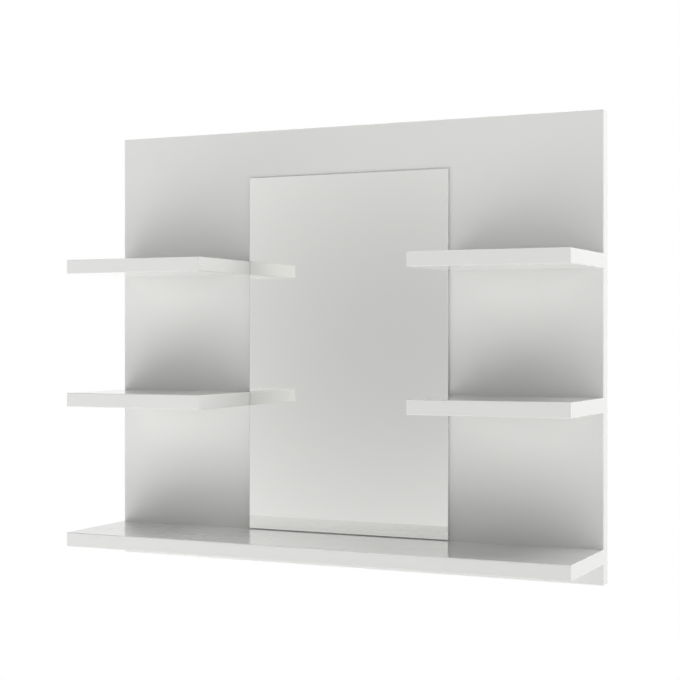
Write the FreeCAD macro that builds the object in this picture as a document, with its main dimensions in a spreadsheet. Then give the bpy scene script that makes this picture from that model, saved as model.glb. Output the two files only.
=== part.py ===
import FreeCAD
import Part
import Sketcher
import math
import os
from types import SimpleNamespace

# Wall panel with a mirror in its middle, two short shelves on each side of it and one long shelf below.
# Millimetres. The origin is the centre of the panel's back face, which lies on the wall.
# X runs to the viewer's right, Y into the wall and Z up.

# Driving dimensions. Heights are counted up from the panel's bottom edge.
DIMENSIONS = {
    # panel and shelf boards, measured over their edging
    "panel_width": 600,
    "panel_height": 505,
    "panel_thickness": 16,
    "shelf_thickness": 16,
    "shelf_depth": 121,
    "side_shelf_length": 176,
    "panel_below_bottom_shelf": 22,
    "lower_bay_height": 145,
    "upper_bay_height": 137.5,
    # edging glued to the cut edges
    "edging_thickness": 1,
    "edging_radius": 0.8,
    # mirror and the foam tape that holds it
    "mirror_thickness": 2,
    "mirror_arris": 0.3,
    "mirror_side_gap": 0.1,
    "mirror_bottom_gap": 0.7,
    "mirror_face_gap": 0.1,
    "mirror_top_margin": 54.5,
    "tape_thickness": 0.5,
    "tape_width": 20,
    "tape_inset": 15,
    # dowels between panel and shelves
    "dowel_diameter": 8,
    "dowel_length": 30,
    "dowel_in_panel": 10.5,
    "dowel_chamfer": 1,
    "dowel_from_end": 25,
    # screws from the panel's back into the shelves
    "shelf_screw_diameter": 5,
    "shelf_screw_length": 50,
    "shelf_screw_head": 9.6,
    "shelf_screw_point": 5,
    "shelf_screw_from_end": 55,
    "shelf_screw_recess": 5.2,
    "shelf_screw_recess_arm": 1.2,
    "shelf_screw_recess_depth": 2.2,
    # keyhole plates let into the panel's back
    "hanger_from_side": 100,
    "hanger_from_top": 60,
    "plate_length": 52,
    "plate_height": 24,
    "plate_thickness": 2,
    "plate_gap": 0.2,
    "plate_below_entry": 8,
    "entry_diameter": 9,
    "slot_width": 4.5,
    "slot_rise": 8.5,
    "head_room_width": 12,
    "head_room_depth": 5,
    # screws that hold the plates
    "plate_screw_spacing": 36,
    "plate_screw_diameter": 3,
    "plate_screw_length": 12,
    "plate_screw_head": 5.6,
    "plate_screw_point": 2.5,
    "plate_screw_recess": 3,
    "plate_screw_recess_arm": 0.7,
    "plate_screw_recess_depth": 1,
    # shared by both kinds of screw, and by every drilled hole
    "screw_head_rim": 0.2,
    "screw_head_sink": 0.1,
    "hole_clearance": 0.1,
    "hole_end_room": 0.5,
}

SIDE_FIXINGS = 2
BOTTOM_SCREWS = 4
BOTTOM_DOWELS = 3
TAPE_STRIPS = 4
COUNTERSINK_ANGLE = 90
LARGEST_EDGING_ROUND = 0.9
SHEET = "Sizes"


def as_size(number):
    return number if isinstance(number, Size) else Size(repr(number), number)


class Size:
    """A length with its value and the sheet formula that gives it."""

    def __init__(self, formula, value):
        self.formula = formula
        self.value = value

    def __add__(self, other):
        other = as_size(other)
        return Size(f"({self.formula} + {other.formula})", self.value + other.value)

    def __sub__(self, other):
        other = as_size(other)
        return Size(f"({self.formula} - {other.formula})", self.value - other.value)

    def __mul__(self, other):
        other = as_size(other)
        return Size(f"({self.formula} * {other.formula})", self.value * other.value)

    def __truediv__(self, other):
        other = as_size(other)
        return Size(f"({self.formula} / {other.formula})", self.value / other.value)

    def __neg__(self):
        return Size(f"(-{self.formula})", -self.value)


def smaller(one, other):
    return Size(f"min({one.formula}; {other.formula})", min(one.value, other.value))


doc = FreeCAD.newDocument("mirror_panel")
sheet = doc.addObject("Spreadsheet::Sheet", SHEET)
for row, (alias, number) in enumerate(DIMENSIONS.items(), start=1):
    sheet.set(f"A{row}", alias)
    sheet.set(f"B{row}", str(number))
    sheet.setAlias(f"B{row}", alias)
doc.recompute()
d = SimpleNamespace(**{alias: Size(f"{SHEET}.{alias}", number) for alias, number in DIMENSIONS.items()})
ZERO = as_size(0)
nodes = []


# Sketches and features

def bind(feature, name, size):
    feature.setExpression(name, size.formula)


def new_body(label):
    body = doc.addObject("PartDesign::Body", label)
    body.Label = label
    return body


def new_sketch(body, plane, lift=None):
    """A sketch on one of the body's own origin planes, raised along its normal by lift."""
    sketch = body.newObject("Sketcher::SketchObject", f"{body.Name}_sketch")
    support = next(item for item in body.Origin.OriginFeatures if item.Role == plane)
    sketch.AttachmentSupport = [(support, "")]
    sketch.MapMode = "FlatFace"
    if lift is not None:
        bind(sketch, "AttachmentOffset.Base.z", lift)
    return sketch


def constrain(sketch, kind, *items):
    """Adds a constraint whose last item is a size, and ties it to that size's formula."""
    *where, size = items
    number = sketch.addConstraint(Sketcher.Constraint(kind, *where, size.value))
    sketch.setExpression(f"Constraints[{number}]", size.formula)


def pin_point(sketch, geometry, point, at):
    constrain(sketch, "DistanceX", -1, 1, geometry, point, at[0])
    constrain(sketch, "DistanceY", -1, 1, geometry, point, at[1])


def vector(at):
    return FreeCAD.Vector(at[0].value, at[1].value, 0)


def add_polygon(sketch, corners):
    """A closed outline of straight lines with every corner pinned."""
    points = [vector(corner) for corner in corners]
    lines = []
    for start, end in zip(points, points[1:] + points[:1]):
        lines.append(sketch.addGeometry(Part.LineSegment(start, end), False))
    for line, following in zip(lines, lines[1:] + lines[:1]):
        sketch.addConstraint(Sketcher.Constraint("Coincident", line, 2, following, 1))
    for line, corner in zip(lines, corners):
        pin_point(sketch, line, 1, corner)


def add_rectangle(sketch, low, high):
    add_polygon(sketch, [low, (high[0], low[1]), high, (low[0], high[1])])


def add_circle(sketch, centre, diameter):
    normal = FreeCAD.Vector(0, 0, 1)
    circle = sketch.addGeometry(Part.Circle(vector(centre), normal, diameter.value / 2), False)
    constrain(sketch, "Diameter", circle, diameter)
    pin_point(sketch, circle, 3, centre)


def add_slot(sketch, start, end, width):
    """A straight slot with round ends, from one end's centre to the other's."""
    along = vector(end) - vector(start)
    turn = math.atan2(along.y, along.x)
    quarter = math.pi / 2
    normal = FreeCAD.Vector(0, 0, 1)
    radius = width.value / 2
    side = FreeCAD.Vector(-math.sin(turn), math.cos(turn), 0) * radius
    first_circle = Part.Circle(vector(start), normal, radius)
    last_circle = Part.Circle(vector(end), normal, radius)
    first = sketch.addGeometry(Part.ArcOfCircle(first_circle, turn + quarter, turn + 3 * quarter), False)
    last = sketch.addGeometry(Part.ArcOfCircle(last_circle, turn - quarter, turn + quarter), False)
    upper = sketch.addGeometry(Part.LineSegment(vector(start) + side, vector(end) + side), False)
    lower = sketch.addGeometry(Part.LineSegment(vector(start) - side, vector(end) - side), False)
    for one, one_end, other, other_end in (
        (first, 1, upper, 1), (first, 2, lower, 1), (upper, 2, last, 2), (lower, 2, last, 1)
    ):
        sketch.addConstraint(Sketcher.Constraint("Tangent", one, one_end, other, other_end))
    sketch.addConstraint(Sketcher.Constraint("Equal", first, last))
    constrain(sketch, "Diameter", first, width)
    pin_point(sketch, first, 3, start)
    pin_point(sketch, last, 3, end)


def pad(body, sketch, length):
    feature = body.newObject("PartDesign::Pad", f"{body.Name}_pad")
    feature.Profile = sketch
    bind(feature, "Length", length)
    doc.recompute()
    return feature


def pocket(body, sketch, depth=None, reverse=False):
    """A cut along the sketch's normal, reversed or not, to a depth or right through."""
    feature = body.newObject("PartDesign::Pocket", f"{body.Name}_pocket")
    feature.Profile = sketch
    feature.Reversed = reverse
    if depth is None:
        feature.Type = "ThroughAll"
    else:
        bind(feature, "Length", depth)
    doc.recompute()
    return feature


def countersunk_holes(body, sketch, diameter, mouth):
    """Holes right through the body along the sketch's normal, with conical mouths."""
    doc.recompute()
    feature = body.newObject("PartDesign::Hole", f"{body.Name}_holes")
    feature.Profile = sketch
    feature.Reversed = True
    feature.ThreadType = "None"
    feature.DepthType = "ThroughAll"
    feature.HoleCutType = "Countersink"
    feature.HoleCutCountersinkAngle = COUNTERSINK_ANGLE
    bind(feature, "Diameter", diameter)
    bind(feature, "HoleCutDiameter", mouth)
    doc.recompute()


def edge_names(shape, wanted):
    return [f"Edge{n}" for n, edge in enumerate(shape.Edges, start=1) if wanted(edge)]


def dress_edges(body, kind, base, size_name, size, wanted):
    """A Fillet or Chamfer on the base feature's edges that the test picks."""
    feature = body.newObject(f"PartDesign::{kind}", f"{body.Name}_{kind.lower()}")
    feature.Base = (base, edge_names(base.Shape, wanted))
    bind(feature, size_name, size)
    doc.recompute()


def place(item, x, y, z, turn=None):
    if turn is not None:
        item.Placement = FreeCAD.Placement(FreeCAD.Vector(), turn)
    for axis, size in (("x", x), ("y", y), ("z", z)):
        bind(item, f"Placement.Base.{axis}", size)


def group(label, piece, spots, turn):
    """One node of separate copies of a piece, one at each spot."""
    links = []
    for number, spot in enumerate(spots, start=1):
        link = doc.addObject("App::Link", f"{label}_{number}")
        link.LinkedObject = piece
        place(link, *spot, turn)
        links.append(link)
    whole = doc.addObject("Part::Compound", label)
    whole.Label = label
    whole.Links = links
    nodes.append(whole)


def even_spread(length, margin, count):
    """Places along a length, about its middle, from one end margin to the other."""
    half = length / 2 - margin
    return [half * (2 * step / (count - 1) - 1) for step in range(count)]


# Layout shared by the pieces

RIGHT = FreeCAD.Vector(1, 0, 0)
LEFT = FreeCAD.Vector(-1, 0, 0)
FRONT = FreeCAD.Vector(0, -1, 0)
BACK = FreeCAD.Vector(0, 1, 0)
UP = FreeCAD.Vector(0, 0, 1)
DOWN = FreeCAD.Vector(0, 0, -1)
TO_FRONT = FreeCAD.Rotation(RIGHT, 90)

panel_front = -d.panel_thickness
panel_bottom = -d.panel_height / 2
side_centre = (d.panel_width - d.side_shelf_length) / 2
bottom_base = d.panel_below_bottom_shelf
bottom_top = bottom_base + d.shelf_thickness
middle_base = bottom_top + d.lower_bay_height
upper_base = middle_base + d.shelf_thickness + d.upper_bay_height

# the pane reaches to the short shelves' boards, and the edging on their inner ends stops in front of it
mirror_width = d.panel_width - (d.side_shelf_length - d.edging_thickness + d.mirror_side_gap) * 2
mirror_standoff = d.tape_thickness + d.mirror_thickness
inner_setback = mirror_standoff + d.mirror_face_gap
mirror_base = bottom_top + d.mirror_bottom_gap
mirror_height = d.panel_height - d.mirror_top_margin - mirror_base

dowel_hole = d.dowel_diameter + d.hole_clearance * 2
dowel_in_shelf = d.dowel_length - d.dowel_in_panel
shelf_screw_hole = d.shelf_screw_diameter + d.hole_clearance * 2
shelf_screw_in_shelf = d.shelf_screw_length + d.screw_head_sink - d.panel_thickness
plate_screw_hole = d.plate_screw_diameter + d.hole_clearance * 2
plate_screw_reach = d.plate_screw_length + d.screw_head_sink + d.hole_end_room
hanger_height = d.panel_height - d.hanger_from_top
plate_height_centre = hanger_height - d.plate_below_entry + d.plate_height / 2


def shelf_layout(name, centre, base, length, screws, dowels, left_setback=ZERO, right_setback=ZERO):
    """A shelf's name, place and fixings, counted from the panel's middle and its bottom edge.

    The setbacks are the distances from the panel's face at which the edging on its two ends stops.
    """
    return SimpleNamespace(
        name=name,
        centre=centre,
        base=base,
        middle=base + d.shelf_thickness / 2,
        length=length,
        left_setback=left_setback,
        right_setback=right_setback,
        screws=[centre + offset for offset in even_spread(length, d.shelf_screw_from_end, screws)],
        dowels=[centre + offset for offset in even_spread(length, d.dowel_from_end, dowels)],
    )


shelves = []
sides = (("left", -side_centre, ZERO, inner_setback), ("right", side_centre, inner_setback, ZERO))
for level, base in (("upper", upper_base), ("middle", middle_base)):
    for side, centre, *setbacks in sides:
        name = f"{level}_{side}_shelf"
        length = d.side_shelf_length
        shelves.append(shelf_layout(name, centre, base, length, SIDE_FIXINGS, SIDE_FIXINGS, *setbacks))
shelves.append(shelf_layout("bottom_shelf", ZERO, bottom_base, d.panel_width, BOTTOM_SCREWS, BOTTOM_DOWELS))
hanger_offset = d.panel_width / 2 - d.hanger_from_side
hangers = (("left", -hanger_offset), ("right", hanger_offset))


# Boards and edging

def make_edging(label, length, width, corner, across, outwards, round_ends=False):
    """A strip glued to a board's edge, its two outer long edges rounded.

    It starts at corner, lies across the board's edge and stands off it outwards. round_ends also rounds the
    outer edges at its two ends, where it turns the board's corners.
    """
    body = new_body(label)
    section = new_sketch(body, "XY_Plane")
    add_rectangle(section, (ZERO, ZERO), (width, d.edging_thickness))
    strip = pad(body, section, length)
    outer = d.edging_thickness.value

    def on_outer_face(edge):
        box = edge.BoundBox
        return box.YMin > outer / 2 and (round_ends or box.ZLength > length.value / 2)

    radius = smaller(d.edging_radius, d.edging_thickness * LARGEST_EDGING_ROUND)
    dress_edges(body, "Fillet", strip, "Radius", radius, on_outer_face)
    turn = FreeCAD.Rotation(across, outwards, across.cross(outwards), "XYZ")
    place(body, *corner, turn)
    nodes.append(body)


def make_panel():
    """The back board: dowel holes from the front, screw holes and hanger recesses from the back."""
    body = new_body("back_panel")
    half_width = d.panel_width / 2 - d.edging_thickness
    outline = new_sketch(body, "XZ_Plane")
    low = (-half_width, d.edging_thickness)
    high = (half_width, d.panel_height - d.edging_thickness)
    add_rectangle(outline, low, high)
    pad(body, outline, d.panel_thickness)

    dowel_holes = new_sketch(body, "XZ_Plane", d.panel_thickness)
    screw_holes = new_sketch(body, "XZ_Plane")
    for shelf in shelves:
        for x in shelf.dowels:
            add_circle(dowel_holes, (x, shelf.middle), dowel_hole)
        for x in shelf.screws:
            add_circle(screw_holes, (x, shelf.middle), shelf_screw_hole)
    pocket(body, dowel_holes, d.dowel_in_panel + d.hole_end_room)
    mouth = d.shelf_screw_head + (d.screw_head_sink + d.screw_head_rim + d.hole_clearance) * 2
    countersunk_holes(body, screw_holes, shelf_screw_hole, mouth)

    recess = new_sketch(body, "XZ_Plane")
    head_room = new_sketch(body, "XZ_Plane")
    pilots = new_sketch(body, "XZ_Plane")
    reach = (d.plate_length - d.plate_height) / 2
    for _, x in hangers:
        start = (x - reach, plate_height_centre)
        end = (x + reach, plate_height_centre)
        add_slot(recess, start, end, d.plate_height + d.plate_gap * 2)
        add_slot(head_room, (x, hanger_height), (x, hanger_height + d.slot_rise), d.head_room_width)
        for offset in (-d.plate_screw_spacing / 2, d.plate_screw_spacing / 2):
            add_circle(pilots, (x + offset, plate_height_centre), plate_screw_hole)
    pocket(body, recess, d.plate_thickness, reverse=True)
    pocket(body, head_room, d.plate_thickness + d.head_room_depth, reverse=True)
    pocket(body, pilots, plate_screw_reach, reverse=True)
    place(body, ZERO, ZERO, panel_bottom)
    nodes.append(body)


def make_panel_edging():
    half_width = d.panel_width / 2
    band = d.edging_thickness
    top = panel_bottom + d.panel_height - band
    side_length = d.panel_height - band * 2
    thickness = d.panel_thickness
    above = (-half_width, panel_front, top)
    below = (half_width, panel_front, panel_bottom + band)
    left = (-half_width + band, panel_front, panel_bottom + band)
    right = (half_width - band, panel_front, top)
    make_edging("panel_top_edging", d.panel_width, thickness, above, BACK, UP, True)
    make_edging("panel_bottom_edging", d.panel_width, thickness, below, BACK, DOWN, True)
    make_edging("panel_left_edging", side_length, thickness, left, BACK, LEFT)
    make_edging("panel_right_edging", side_length, thickness, right, BACK, RIGHT)


def make_shelf(shelf):
    """A shelf board, drilled in its rear edge, with edging on its front and both ends."""
    band = d.edging_thickness
    board_depth = d.shelf_depth - band
    half_board = shelf.length / 2 - band
    body = new_body(shelf.name)
    rear_edge = new_sketch(body, "XZ_Plane")
    add_rectangle(rear_edge, (-half_board, ZERO), (half_board, d.shelf_thickness))
    pad(body, rear_edge, board_depth)
    dowel_holes = new_sketch(body, "XZ_Plane")
    screw_holes = new_sketch(body, "XZ_Plane")
    for x in shelf.dowels:
        add_circle(dowel_holes, (x - shelf.centre, d.shelf_thickness / 2), dowel_hole)
    for x in shelf.screws:
        add_circle(screw_holes, (x - shelf.centre, d.shelf_thickness / 2), shelf_screw_hole)
    pocket(body, dowel_holes, dowel_in_shelf + d.hole_end_room, reverse=True)
    pocket(body, screw_holes, shelf_screw_in_shelf + d.hole_end_room, reverse=True)
    low = panel_bottom + shelf.base
    place(body, shelf.centre, panel_front, low)
    nodes.append(body)

    front = panel_front - board_depth
    left = shelf.centre - half_board
    right = shelf.centre + half_board
    thickness = d.shelf_thickness
    corner = (left - band, front, low)
    make_edging(f"{shelf.name}_front_edging", shelf.length, thickness, corner, UP, FRONT, True)
    left_corner = (left, panel_front - shelf.left_setback, low)
    left_length = board_depth - shelf.left_setback
    right_corner = (right, front, low)
    right_length = board_depth - shelf.right_setback
    make_edging(f"{shelf.name}_left_edging", left_length, thickness, left_corner, UP, LEFT)
    make_edging(f"{shelf.name}_right_edging", right_length, thickness, right_corner, UP, RIGHT)


# Mirror

def make_mirror():
    """The silvered pane with its sharp edges taken off."""
    body = new_body("mirror_glass")
    outline = new_sketch(body, "XZ_Plane")
    add_rectangle(outline, (-mirror_width / 2, ZERO), (mirror_width / 2, mirror_height))
    pane = pad(body, outline, d.mirror_thickness)

    def around_a_face(edge):
        return edge.BoundBox.YLength < d.mirror_thickness.value / 2

    dress_edges(body, "Chamfer", pane, "Size", d.mirror_arris, around_a_face)
    place(body, ZERO, panel_front - d.tape_thickness, panel_bottom + mirror_base)
    nodes.append(body)


def make_tape():
    """Upright foam strips between the pane and the panel, set in from the pane's edges."""
    strip = new_body("tape_strip")
    outline = new_sketch(strip, "XZ_Plane")
    strip_length = mirror_height - d.tape_inset * 2
    add_rectangle(outline, (-d.tape_width / 2, ZERO), (d.tape_width / 2, strip_length))
    pad(strip, outline, d.tape_thickness)
    low = panel_bottom + mirror_base + d.tape_inset
    margin = d.tape_inset + d.tape_width / 2
    spots = [(x, panel_front, low) for x in even_spread(mirror_width, margin, TAPE_STRIPS)]
    group("mirror_tape_strips", strip, spots, FreeCAD.Rotation())


# Fixings and hangers

def make_dowel():
    body = new_body("dowel")
    outline = new_sketch(body, "XY_Plane")
    add_circle(outline, (ZERO, ZERO), d.dowel_diameter)
    peg = pad(body, outline, d.dowel_length)

    def at_an_end(edge):
        return edge.BoundBox.ZLength < d.dowel_length.value / 2

    dress_edges(body, "Chamfer", peg, "Size", d.dowel_chamfer, at_an_end)
    return body


def make_screw(label, diameter, length, head, point, recess, recess_arm, recess_depth):
    """A countersunk screw, head at the origin and point along +Z, with a cross recess."""
    body = new_body(label)
    profile = new_sketch(body, "XZ_Plane")
    shank_radius = diameter / 2
    head_radius = head / 2
    corners = [
        (ZERO, ZERO),
        (head_radius, ZERO),
        (head_radius, d.screw_head_rim),
        (shank_radius, d.screw_head_rim + head_radius - shank_radius),
        (shank_radius, length - point),
        (ZERO, length),
    ]
    add_polygon(profile, corners)
    turned = body.newObject("PartDesign::Revolution", f"{label}_turned")
    turned.Profile = profile
    turned.ReferenceAxis = (profile, ["V_Axis"])
    turned.Angle = 360
    doc.recompute()
    for width, height in ((recess, recess_arm), (recess_arm, recess)):
        arm = new_sketch(body, "XY_Plane")
        add_rectangle(arm, (-width / 2, -height / 2), (width / 2, height / 2))
        pocket(body, arm, recess_depth, reverse=True)
    return body


def make_hanger_plate(side, x):
    """A round-ended steel plate with a keyhole, flush with the panel's back."""
    body = new_body(f"{side}_hanger_plate")
    outline = new_sketch(body, "XZ_Plane")
    reach = (d.plate_length - d.plate_height) / 2
    centre_height = d.plate_height / 2 - d.plate_below_entry
    add_slot(outline, (-reach, centre_height), (reach, centre_height), d.plate_height)
    pad(body, outline, d.plate_thickness)
    entry = new_sketch(body, "XZ_Plane")
    add_circle(entry, (ZERO, ZERO), d.entry_diameter)
    pocket(body, entry, reverse=True)
    slot = new_sketch(body, "XZ_Plane")
    add_slot(slot, (ZERO, ZERO), (ZERO, d.slot_rise), d.slot_width)
    pocket(body, slot, reverse=True)
    holes = new_sketch(body, "XZ_Plane")
    for offset in (-d.plate_screw_spacing / 2, d.plate_screw_spacing / 2):
        add_circle(holes, (offset, centre_height), plate_screw_hole)
    mouth = d.plate_screw_head + (d.screw_head_sink + d.screw_head_rim + d.hole_clearance) * 2
    countersunk_holes(body, holes, plate_screw_hole, mouth)
    place(body, x, ZERO, panel_bottom + hanger_height)
    nodes.append(body)


def make_fixings():
    dowel = make_dowel()
    shelf_screw = make_screw(
        "shelf_screw", d.shelf_screw_diameter, d.shelf_screw_length, d.shelf_screw_head,
        d.shelf_screw_point, d.shelf_screw_recess, d.shelf_screw_recess_arm, d.shelf_screw_recess_depth,
    )
    dowel_end = panel_front + d.dowel_in_panel
    for shelf in shelves:
        height = panel_bottom + shelf.middle
        dowel_spots = [(x, dowel_end, height) for x in shelf.dowels]
        screw_spots = [(x, -d.screw_head_sink, height) for x in shelf.screws]
        group(f"{shelf.name}_dowels", dowel, dowel_spots, TO_FRONT)
        group(f"{shelf.name}_screws", shelf_screw, screw_spots, TO_FRONT)


def make_hangers():
    plate_screw = make_screw(
        "plate_screw", d.plate_screw_diameter, d.plate_screw_length, d.plate_screw_head,
        d.plate_screw_point, d.plate_screw_recess, d.plate_screw_recess_arm, d.plate_screw_recess_depth,
    )
    height = panel_bottom + plate_height_centre
    for side, x in hangers:
        make_hanger_plate(side, x)
        offsets = (-d.plate_screw_spacing / 2, d.plate_screw_spacing / 2)
        spots = [(x + offset, -d.screw_head_sink, height) for offset in offsets]
        group(f"{side}_hanger_screws", plate_screw, spots, TO_FRONT)


# Build, check and write

def check_document():
    for item in doc.Objects:
        if "Invalid" in item.State or "Error" in item.State:
            raise RuntimeError(f"{item.Label} failed: {item.State}")
        if item.TypeId in ("PartDesign::Pocket", "PartDesign::Hole"):
            if item.Shape.Volume >= item.BaseFeature.Shape.Volume:
                raise RuntimeError(f"{item.Label} cuts nothing")
    for node in nodes:
        if node.Shape.isNull() or not node.Shape.isValid():
            raise RuntimeError(f"{node.Label} has no valid shape")


make_panel()
make_panel_edging()
for shelf in shelves:
    make_shelf(shelf)
make_mirror()
make_tape()
make_fixings()
make_hangers()
doc.recompute()
check_document()
os.makedirs("parts", exist_ok=True)
for node in nodes:
    node.Shape.exportStep(f"parts/{node.Label}.step")
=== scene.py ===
"""Finishes, light and camera for a white wall panel with a mirror and five shelves."""

import math

import bpy
import numpy as np
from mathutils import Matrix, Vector


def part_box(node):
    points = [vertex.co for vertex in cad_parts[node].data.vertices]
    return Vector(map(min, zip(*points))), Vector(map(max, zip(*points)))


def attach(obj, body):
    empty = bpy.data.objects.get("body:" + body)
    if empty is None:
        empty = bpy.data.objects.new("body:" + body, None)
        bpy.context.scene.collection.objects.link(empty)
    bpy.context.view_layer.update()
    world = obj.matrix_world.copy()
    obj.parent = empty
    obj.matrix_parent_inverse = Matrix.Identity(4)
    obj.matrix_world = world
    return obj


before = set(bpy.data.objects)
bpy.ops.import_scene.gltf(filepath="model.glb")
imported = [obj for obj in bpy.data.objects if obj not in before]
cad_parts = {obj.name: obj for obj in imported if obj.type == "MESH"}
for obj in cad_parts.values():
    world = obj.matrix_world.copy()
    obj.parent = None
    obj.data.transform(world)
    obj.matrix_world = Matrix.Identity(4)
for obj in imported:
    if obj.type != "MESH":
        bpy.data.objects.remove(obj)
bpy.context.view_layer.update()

MM = 0.001
BODY = "root"
EVEN = (1.0, 1.0, 1.0)
BLACK_LIGHT = (0.0, 0.0, 0.0)
WHITE_LIGHT = (1.0, 1.0, 1.0)


# Shader trees


class Value:
    """A shader socket. Python's operators on it add Math nodes to its tree."""

    def __init__(self, tree, socket):
        self.tree = tree
        self.socket = socket

    def math(self, operation, *terms):
        """The result of one Math node on its terms, which are values or numbers."""
        return self.tree.node("Math", {"operation": operation}, dict(enumerate(terms)))

    def __add__(self, other):
        return self.math("ADD", self, other)

    def __sub__(self, other):
        return self.math("SUBTRACT", self, other)

    def __rsub__(self, other):
        return self.math("SUBTRACT", other, self)

    def __mul__(self, other):
        return self.math("MULTIPLY", self, other)

    def __abs__(self):
        return self.math("ABSOLUTE", self)

    __radd__ = __add__
    __rmul__ = __mul__

    def smaller(self, other):
        """The smaller one of this value and another."""
        return self.math("MINIMUM", self, other)

    def larger(self, other):
        """The larger one of this value and another."""
        return self.math("MAXIMUM", self, other)

    def ramp(self, start, end, interpolation="LINEAR"):
        """0 up to start, 1 from end on, and a straight line between them."""
        settings = {"interpolation_type": interpolation}
        return self.tree.node("MapRange", settings, {"Value": self, "From Min": start, "From Max": end})

    def rise(self, start, end):
        """0 up to start, 1 from end on, and a smooth step between them."""
        return self.ramp(start, end, "SMOOTHSTEP")


class ShaderTree:
    """The node tree of a material or the world, and the ways to add to it."""

    def __init__(self, owner):
        owner.use_nodes = True
        self.owner = owner
        self.tree = owner.node_tree
        self.tree.nodes.clear()

    def node(self, kind, settings=None, inputs=None, output=0):
        """Adds a node, makes its settings, fills its sockets by name or number and gives one output."""
        node = self.tree.nodes.new(f"ShaderNode{kind}")
        for name, setting in (settings or {}).items():
            if name == "stops":
                self.fill_ramp(node.color_ramp, setting)
            else:
                setattr(node, name, setting)
        for name, value in (inputs or {}).items():
            if isinstance(value, Value):
                self.tree.links.new(value.socket, node.inputs[name])
            else:
                node.inputs[name].default_value = value
        return Value(self, node.outputs[output]) if node.outputs else None

    @staticmethod
    def fill_ramp(ramp, stops):
        """Puts stops, each a position and a colour, into a colour ramp."""
        while len(ramp.elements) < len(stops):
            ramp.elements.new(1.0)
        for element, (position, colour) in zip(ramp.elements, stops):
            element.position = position
            element.color = (*colour, 1.0)

    def mix(self, factor, first, second):
        """A colour that goes from first to second with factor."""
        first, second = (c if isinstance(c, Value) else (*c, 1.0) for c in (first, second))
        return self.node("Mix", {"data_type": "RGBA"}, {0: factor, 6: first, 7: second}, output=2)

    def shades(self, value, colours):
        """A value from 0 to 1 turned to evenly spaced colours."""
        stops = [(number / (len(colours) - 1), colour) for number, colour in enumerate(colours)]
        return self.node("ValToRGB", {"stops": stops}, {"Fac": value})

    def axes(self, vector):
        """The three parts of a vector."""
        parts = self.node("SeparateXYZ", inputs={"Vector": vector})
        return [Value(self, socket) for socket in parts.socket.node.outputs]

    def ray_kinds(self):
        """Three values, each 1 for a ray from the camera, from gloss or through glass, and else 0."""
        outputs = self.node("LightPath").socket.node.outputs
        return [Value(self, outputs[f"Is {kind} Ray"]) for kind in ("Camera", "Glossy", "Transmission")]


class Finish(ShaderTree):
    """A material whose patterns lie on its piece's own coordinates, in metres."""

    def __init__(self, name):
        super().__init__(bpy.data.materials.new(name))
        self.place = self.node("TexCoord", output=3)

    def noise(self, per_metre, detail=2.0, density=EVEN):
        """Soft noise with so many waves per metre. A density under 1 along an axis draws it out there."""
        vector = self.place
        if density != EVEN:
            vector = self.node("Mapping", inputs={"Vector": vector, "Scale": density})
        return self.node("TexNoise", inputs={"Vector": vector, "Scale": per_metre, "Detail": detail})

    def bump(self, height, relief):
        """The normal of a surface on which a height of 1 is worth the relief, in metres."""
        return self.node("Bump", inputs={"Height": height, "Distance": relief, "Strength": 1.0})

    def surface(self, colour, roughness, normal=None, **others):
        """Ends the tree in one Principled shader and gives the material.

        Other sockets go by their names, with _ for a space.
        """
        base = colour if isinstance(colour, Value) else (*colour, 1.0)
        inputs = {"Base Color": base, "Roughness": roughness}
        if normal is not None:
            inputs["Normal"] = normal
        inputs.update({name.replace("_", " "): value for name, value in others.items()})
        shader = self.node("BsdfPrincipled", inputs=inputs)
        self.node("OutputMaterial", inputs={"Surface": shader})
        return self.owner


# Finishes

WHITE = (0.725, 0.725, 0.71)
WHITE_SHADE = (0.71, 0.71, 0.695)
# The edging's whites are the board's whites made 8 % paler: partly the plastic's own tone and partly
# painted light, which makes the strips on the shelves' fronts and ends look more brightly lit than the
# boards.
EDGING_WHITE_WITH_PAINTED_LIGHT = (0.783, 0.783, 0.767)
EDGING_SHADE_WITH_PAINTED_LIGHT = (0.767, 0.767, 0.75)
EDGING_WORN = (0.68, 0.675, 0.65)
CHIP_TONES = ((0.38, 0.25, 0.14), (0.58, 0.43, 0.27), (0.70, 0.56, 0.38))
ZINC_TONES = ((0.38, 0.40, 0.43), (0.50, 0.51, 0.53), (0.58, 0.575, 0.56))
BEECH_TONES = ((0.50, 0.30, 0.16), (0.66, 0.45, 0.27), (0.76, 0.57, 0.38))
FOAM_TONES = ((0.62, 0.62, 0.60), (0.80, 0.80, 0.78))
GLASS_TINT = (0.995, 0.998, 0.99)
FROST_TONES = ((0.86, 0.91, 0.885), (0.93, 0.96, 0.945))
SILVER_TONES = ((0.985, 0.982, 0.966), (0.965, 0.962, 0.946))
BACKING_TONES = ((0.20, 0.215, 0.22), (0.26, 0.275, 0.28))

LACQUER_RELIEF = 0.003 * MM
EDGING_RELIEF = 0.002 * MM
ZINC_RELIEF = 0.006 * MM
FOAM_RELIEF = 0.15 * MM
BEECH_RELIEF = 0.05 * MM
BACKING_RELIEF = 0.02 * MM

BOARD_SKIN = 0.05 * MM
WHOLLY_RUBBED = 0.2 * MM
HARDLY_RUBBED = 1.2 * MM
GLASS_IOR = 1.52
LACQUER_COAT = {"Coat_Weight": 1.0, "Coat_Roughness": 0.14, "Coat_IOR": 1.75}


def lacquer_look(finish):
    """Colour, roughness and height of gloss lacquer: faint clouds, wipe marks, orange peel and waviness."""
    cloud = finish.noise(14.0, detail=3.0)
    wipes = finish.noise(30.0, detail=3.0, density=(0.25, 1.0, 1.6)).rise(0.45, 0.75)
    orange_peel = finish.noise(340.0, detail=1.0)
    waviness = finish.noise(22.0, detail=1.0)
    colour = finish.mix(cloud, WHITE, WHITE_SHADE)
    roughness = 0.20 + 0.05 * cloud + 0.03 * wipes
    height = 0.25 * orange_peel + 0.75 * waviness
    return colour, roughness, height


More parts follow.
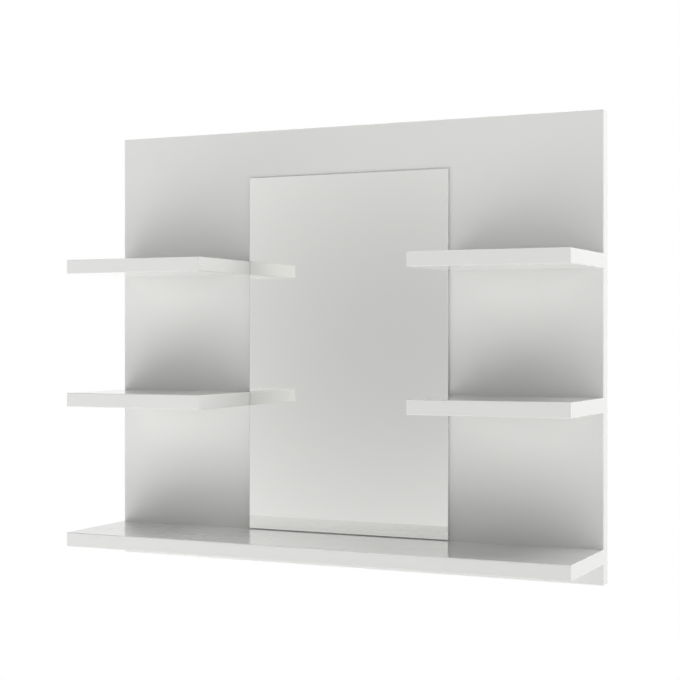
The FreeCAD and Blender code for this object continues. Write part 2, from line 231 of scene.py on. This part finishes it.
def gloss_board(name):
    """White lacquer on every face of a shelf board."""
    finish = Finish(name)
    colour, roughness, height = lacquer_look(finish)
    return finish.surface(colour, roughness, finish.bump(height, LACQUER_RELIEF), **LACQUER_COAT)


def panel_board(name, front, back):
    """Lacquer on the front, satin melamine on the back and bare chipboard where the board is cut open."""
    finish = Finish(name)
    _, depth, _ = finish.axes(finish.place)
    in_front = 1.0 - depth.rise(front + BOARD_SKIN / 2, front + BOARD_SKIN)
    behind = depth.rise(back - BOARD_SKIN, back - BOARD_SKIN / 2)
    cut = 1.0 - in_front - behind

    gloss_colour, gloss_roughness, gloss_height = lacquer_look(finish)
    pearl = finish.noise(900.0)
    chips = finish.node("TexVoronoi", inputs={"Vector": finish.place, "Scale": 420.0}, output=1)
    chip_tone = finish.axes(chips)[0]

    skin_colour = finish.mix(behind, gloss_colour, WHITE_SHADE)
    colour = finish.mix(cut, skin_colour, finish.shades(chip_tone, CHIP_TONES))
    roughness = gloss_roughness * in_front + (0.40 + 0.1 * pearl) * behind + 0.9 * cut
    height = gloss_height * in_front + 0.5 * pearl * behind + 8.0 * chip_tone * cut
    coat = in_front + 0.15 * behind
    normal = finish.bump(height, LACQUER_RELIEF)
    return finish.surface(colour, roughness, normal, **{**LACQUER_COAT, "Coat_Weight": coat})


def nearest_edge(finish, low, high):
    """From a point on a box, the way to its nearest edge: the middle one of the three ways to the sides."""
    point = finish.axes(finish.place)
    x, y, z = [(part - start).smaller(end - part) for part, start, end in zip(point, low, high)]
    return x.smaller(y).larger(x.larger(y).smaller(z))


def gloss_edging(name, low, high):
    """Gloss plastic strip with drawn streaks along it, and edges that are rubbed dull here and there."""
    finish = Finish(name)
    size = high - low
    longest = max(range(3), key=lambda axis: size[axis])
    drawn_out = tuple(0.02 if axis == longest else 1.0 for axis in range(3))
    streaks = finish.noise(1400.0, density=drawn_out)
    cloud = finish.noise(20.0)
    rubbed = 1.0 - nearest_edge(finish, low, high).rise(WHOLLY_RUBBED, HARDLY_RUBBED)
    wear = rubbed * finish.noise(55.0, detail=4.0).rise(0.48, 0.66)
    # Painted light: the strip's paler white stands partly for its own plastic and partly for brighter light
    # on the shelves' fronts and ends.
    colour = finish.mix(0.6 * wear, finish.mix(cloud, EDGING_WHITE_WITH_PAINTED_LIGHT, EDGING_SHADE_WITH_PAINTED_LIGHT), EDGING_WORN)
    roughness = 0.16 + 0.06 * streaks + 0.03 * cloud + 0.2 * wear
    normal = finish.bump(streaks, EDGING_RELIEF)
    return finish.surface(colour, roughness, normal, Coat_Weight=0.6, Coat_Roughness=0.06)


def zinc_plate(name):
    """Zinc on steel: a pale mottle, and rolling streaks along X."""
    finish = Finish(name)
    mottle = finish.noise(260.0, detail=4.0)
    streaks = finish.noise(900.0, detail=3.0, density=(0.06, 1.0, 1.0))
    colour = finish.shades(mottle, ZINC_TONES)
    roughness = 0.24 + 0.22 * streaks
    return finish.surface(colour, roughness, finish.bump(streaks, ZINC_RELIEF), Metallic=1.0)


def foam_tape(name):
    """White foam with open cells."""
    finish = Finish(name)
    cells = finish.node("TexVoronoi", inputs={"Vector": finish.place, "Scale": 2600.0})
    return finish.surface(finish.mix(cells, *FOAM_TONES), 0.95, finish.bump(cells, FOAM_RELIEF))


def beech(name):
    """Turned beech: pores drawn out along Y, the dowels' axis."""
    finish = Finish(name)
    grain = finish.noise(900.0, detail=4.0, density=(1.0, 0.05, 1.0))
    colour = finish.shades(grain, BEECH_TONES)
    return finish.surface(colour, 0.6 + 0.2 * grain, finish.bump(grain, BEECH_RELIEF))


def pane_glass(name):
    """Clear float glass whose ground edges are frosted and green."""
    finish = Finish(name)
    normal = finish.node("NewGeometry", output=3)
    facing = abs(finish.axes(normal)[1])
    edge = 1.0 - facing.rise(0.80, 0.95)
    grind = finish.noise(2500.0)
    clear = finish.node("BsdfPrincipled", inputs={
        "Base Color": (*GLASS_TINT, 1.0),
        "Roughness": 0.0,
        "Transmission Weight": 1.0,
        "IOR": GLASS_IOR,
    })
    ground = finish.node("BsdfPrincipled", inputs={
        "Base Color": finish.mix(grind, *FROST_TONES),
        "Roughness": 0.45 + 0.2 * grind,
        "Transmission Weight": 0.1,
        "IOR": GLASS_IOR,
    })
    shader = finish.node("MixShader", inputs={0: edge, 1: clear, 2: ground})
    finish.node("OutputMaterial", inputs={"Surface": shader})
    return finish.owner


def silver(name):
    """The bright side of the silvering, almost free of haze."""
    finish = Finish(name)
    haze = finish.noise(9.0, detail=3.0)
    return finish.surface(finish.mix(haze, *SILVER_TONES), 0.004 + 0.006 * haze, Metallic=1.0)


def backing_paint(name):
    """Grey paint that seals the silvering from behind, laid on by a curtain coater."""
    finish = Finish(name)
    flow = finish.noise(120.0, detail=3.0, density=(1.0, 1.0, 0.12))
    colour = finish.mix(flow, *BACKING_TONES)
    return finish.surface(colour, 0.42 + 0.15 * flow, finish.bump(flow, BACKING_RELIEF))


def dress(piece, finish):
    """Gives a piece one finish in place of any that it has."""
    piece.data.materials.clear()
    piece.data.materials.append(finish)


# The CAD pieces

panel_low, panel_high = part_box("back_panel")
shelf_gloss = gloss_board("white_gloss_board")
panel_gloss = panel_board("white_panel_board", front=panel_low.y, back=panel_high.y)
zinc = zinc_plate("zinc_steel")
foam = foam_tape("foam_tape")
beech_wood = beech("beech_dowel")
glass = pane_glass("mirror_pane")

for name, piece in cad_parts.items():
    if name == "back_panel":
        dress(piece, panel_gloss)
    elif name == "mirror_glass":
        dress(piece, glass)
    elif name == "mirror_tape_strips":
        dress(piece, foam)
    elif name.endswith("_dowels"):
        dress(piece, beech_wood)
    elif name.endswith(("_screws", "_plate")):
        dress(piece, zinc)
    elif name.endswith("_edging"):
        dress(piece, gloss_edging(f"white_{name}", *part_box(name)))
    else:
        dress(piece, shelf_gloss)


# The mirror's silvering

SILVER_THICKNESS = 0.03 * MM
SILVER_DEPTH = 0.3 * MM
SILVER_INSET = 0.1 * MM
SILVER_TOP_INSET = 0.5 * MM
CELLS_ACROSS = 12
CELLS_UP = 20


def mesh_object(name, points, faces):
    """An object in the scene, made of lists of points and of faces."""
    mesh = bpy.data.meshes.new(name)
    mesh.from_pydata(points, [], faces)
    made = bpy.data.objects.new(name, mesh)
    bpy.context.scene.collection.objects.link(made)
    return made


def flat_sheet(name, low, high, depth, across, up):
    """A sheet in the plane y = depth: x = low.x + u (high.x - low.x) and z = low.z + v (high.z - low.z).

    u and v run from 0 to 1 in steps of one cell, and the faces point to the front.
    """
    u, v = np.meshgrid(np.linspace(0, 1, across + 1), np.linspace(0, 1, up + 1))
    x = low.x + u * (high.x - low.x)
    z = low.z + v * (high.z - low.z)
    points = np.stack([x, np.full_like(u, depth), z], axis=-1)
    corner = np.arange((across + 1) * up).reshape(up, across + 1)[:, :-1].ravel()
    faces = np.stack([corner, corner + 1, corner + across + 2, corner + across + 1], axis=-1)
    return mesh_object(name, points.reshape(-1, 3).tolist(), faces.tolist())


pane_low, pane_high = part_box("mirror_glass")
silver_low = pane_low + Vector((SILVER_INSET, 0.0, SILVER_INSET))
silver_high = pane_high - Vector((SILVER_INSET, 0.0, SILVER_TOP_INSET))
silver_y = pane_low.y + SILVER_DEPTH
silvering = flat_sheet("mirror_silvering", silver_low, silver_high, silver_y, CELLS_ACROSS, CELLS_UP)
dress(silvering, silver("mirror_silver"))
silvering.data.materials.append(backing_paint("mirror_backing_paint"))
thicken = silvering.modifiers.new("thicken", "SOLIDIFY")
thicken.thickness = SILVER_THICKNESS
thicken.offset = -1.0
thicken.material_offset = 1
thicken.material_offset_rim = 1
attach(silvering, BODY)


# Floor

FLOOR_DROP = 1.2
FLOOR_RADIUS = 1.5
FLOOR_RINGS = 8
FLOOR_TURNS = 96
FADE_START = 0.6 * FLOOR_RADIUS
FADE_END = 0.98 * FLOOR_RADIUS
FLOOR_TONES = ((0.80, 0.80, 0.79), (0.82, 0.82, 0.81))
FLOOR_GLOW = 0.4


def floor_paint(name):
    """Pale matt paint that fades out before the floor's rim, and glows a little where it is looked at."""
    finish = Finish(name)
    distance = finish.node("VectorMath", {"operation": "LENGTH"}, {0: finish.place}, output=1)
    speckle = finish.noise(60.0, detail=3.0)
    colour = finish.mix(speckle, *FLOOR_TONES)
    camera, glossy, transmission = finish.ray_kinds()
    looked_at = (camera + glossy + transmission).ramp(0.0, 1.0)
    glow = finish.mix(looked_at, BLACK_LIGHT, WHITE_LIGHT)
    alpha = 1.0 - distance.rise(FADE_START, FADE_END)
    return finish.surface(colour, 0.6, Emission_Color=glow, Emission_Strength=FLOOR_GLOW, Alpha=alpha)


def make_floor():
    """A disc: x = r cos t and y = r sin t, with r from 0 to the floor's radius and t round the circle."""
    angle = np.linspace(0, 2 * np.pi, FLOOR_TURNS, endpoint=False)
    radius = np.linspace(0, FLOOR_RADIUS, FLOOR_RINGS + 1)[1:]
    x = np.outer(radius, np.cos(angle)).ravel()
    y = np.outer(radius, np.sin(angle)).ravel()
    points = np.vstack([np.zeros(3), np.column_stack([x, y, np.zeros_like(x)])])
    step = np.arange(FLOOR_TURNS)
    following = (step + 1) % FLOOR_TURNS
    fans = np.column_stack([np.zeros_like(step), 1 + step, 1 + following])
    inner = 1 + FLOOR_TURNS * np.arange(FLOOR_RINGS - 1)[:, None]
    outer = inner + FLOOR_TURNS
    quads = np.stack([inner + step, outer + step, outer + following, inner + following], axis=-1)
    floor = mesh_object("floor", points.tolist(), fans.tolist() + quads.reshape(-1, 4).tolist())
    floor.location.z = panel_low.z - FLOOR_DROP
    dress(floor, floor_paint("floor_paint"))


make_floor()


# Light


def towards(turn, height):
    """The direction that is turned right from the front and raised from level, both in degrees."""
    turn = math.radians(turn)
    height = math.radians(height)
    level = math.cos(height)
    return Vector((math.sin(turn) * level, -math.cos(turn) * level, math.sin(height)))


ROOM_LEVEL = 0.95
ROOM_LOSS_TO_RIGHT = 0.09
LOW_FRONT_LIGHT = 1.2
UNDERNEATH_LOSS = 0.5
DARK_END = towards(-23.0, -0.2)
DARK_END_REACH = 14.8
DARK_END_DEPTH = 0.395
LEAST_SHOWN = 0.5
MOST_SHOWN = 0.9

# A span is where an effect starts and where it is whole, along one axis of a direction of length 1
RIGHT_SPAN = (-0.7, 0.7)
FRONT_SPAN = (0.3, 0.95)
BEHIND_SPAN = (-0.2, 0.1)
CEILING_SPAN = (0.14, 0.32)
LOW_SPAN = (0.12, 0.38)
UNDERNEATH_SPAN = (0.5, 1.0)


def studio_world():
    """A pale room under a dark ceiling, brighter low in front and dimmer at its far end.

    The camera sees plain white. Gloss, metal and glass show white behind the object, and in front of it
    the room between two limits, so that the mirror is neither black nor burnt out from any side.
    """
    world = bpy.data.worlds.new("studio")
    bpy.context.scene.world = world
    tree = ShaderTree(world)
    direction = tree.node("TexCoord")
    x, y, z = tree.axes(direction)
    right = x.ramp(*RIGHT_SPAN)
    front = (0.0 - y).rise(*FRONT_SPAN)
    behind = y.rise(*BEHIND_SPAN)
    down = 0.0 - z
    level = (ROOM_LEVEL - ROOM_LOSS_TO_RIGHT * right) * (1.0 - z.rise(*CEILING_SPAN))
    low = down.rise(*LOW_SPAN) * (1.0 - UNDERNEATH_LOSS * down.rise(*UNDERNEATH_SPAN))
    aim = tree.node("VectorMath", {"operation": "DOT_PRODUCT"}, {0: direction, 1: DARK_END}, output=1)
    nearness = aim.ramp(math.cos(math.radians(DARK_END_REACH)), 1.0)
    room = (level + LOW_FRONT_LIGHT * front * low) * (1.0 - DARK_END_DEPTH * nearness * nearness)

    camera, glossy, transmission = tree.ray_kinds()
    limited = room.larger(LEAST_SHOWN).smaller(MOST_SHOWN)
    shown = limited + behind * (1.0 - limited)
    light = room + (glossy + transmission).ramp(0.0, 1.0) * (shown - room)
    strength = light + camera * (1.0 - light)
    background = tree.node("Background", inputs={"Color": (*WHITE_LIGHT, 1.0), "Strength": strength})
    tree.node("OutputWorld", inputs={"Surface": background})


LAMP_SIZE = 0.56


def soft_lamp(name, turn, height, reach, watts, in_mirror=False):
    """A square soft lamp that faces the object. Its side is LAMP_SIZE times its reach.

    The camera and the gloss don't show it. The mirror's light comes out through its glass, so in_mirror
    says whether the mirror throws this lamp's light on to the shelves.
    """
    data = bpy.data.lights.new(name, "AREA")
    data.size = LAMP_SIZE * reach
    data.energy = watts
    lamp = bpy.data.objects.new(name, data)
    lamp.location = reach * towards(turn, height)
    lamp.rotation_euler = (-lamp.location).to_track_quat("-Z", "Y").to_euler()
    lamp.visible_camera = False
    lamp.visible_glossy = False
    lamp.visible_transmission = in_mirror
    bpy.context.scene.collection.objects.link(lamp)


studio_world()
soft_lamp("high_right_lamp", turn=95.0, height=65.0, reach=2.4, watts=48.0, in_mirror=True)
soft_lamp("right_lamp", turn=90.0, height=0.0, reach=1.6, watts=4.0, in_mirror=True)
soft_lamp("low_left_lamp", turn=-52.0, height=-35.0, reach=1.6, watts=4.7)
soft_lamp("left_lamp", turn=-60.0, height=0.0, reach=4.0, watts=10.0)
soft_lamp("high_left_lamp", turn=-60.0, height=65.0, reach=4.0, watts=26.0, in_mirror=True)
soft_lamp("back_lamp", turn=180.0, height=5.0, reach=4.0, watts=28.0)


# Camera

CAMERA_AT = (0.729, -1.5921, 0.0129)
CAMERA_TILT = math.radians(90.0)
CAMERA_TURN = math.radians(25.07)
LENS = 80.45
SENSOR = 36.0
SHIFT_UP = -0.0069


def make_camera():
    """The camera at the photograph's viewing angle, held level."""
    data = bpy.data.cameras.new("camera")
    data.lens = LENS
    data.sensor_width = SENSOR
    data.shift_y = SHIFT_UP
    camera = bpy.data.objects.new("camera", data)
    camera.location = CAMERA_AT
    camera.rotation_euler = (CAMERA_TILT, 0.0, CAMERA_TURN)
    bpy.context.scene.collection.objects.link(camera)
    bpy.context.scene.camera = camera


make_camera()
bpy.context.scene.view_settings.view_transform = "Standard"
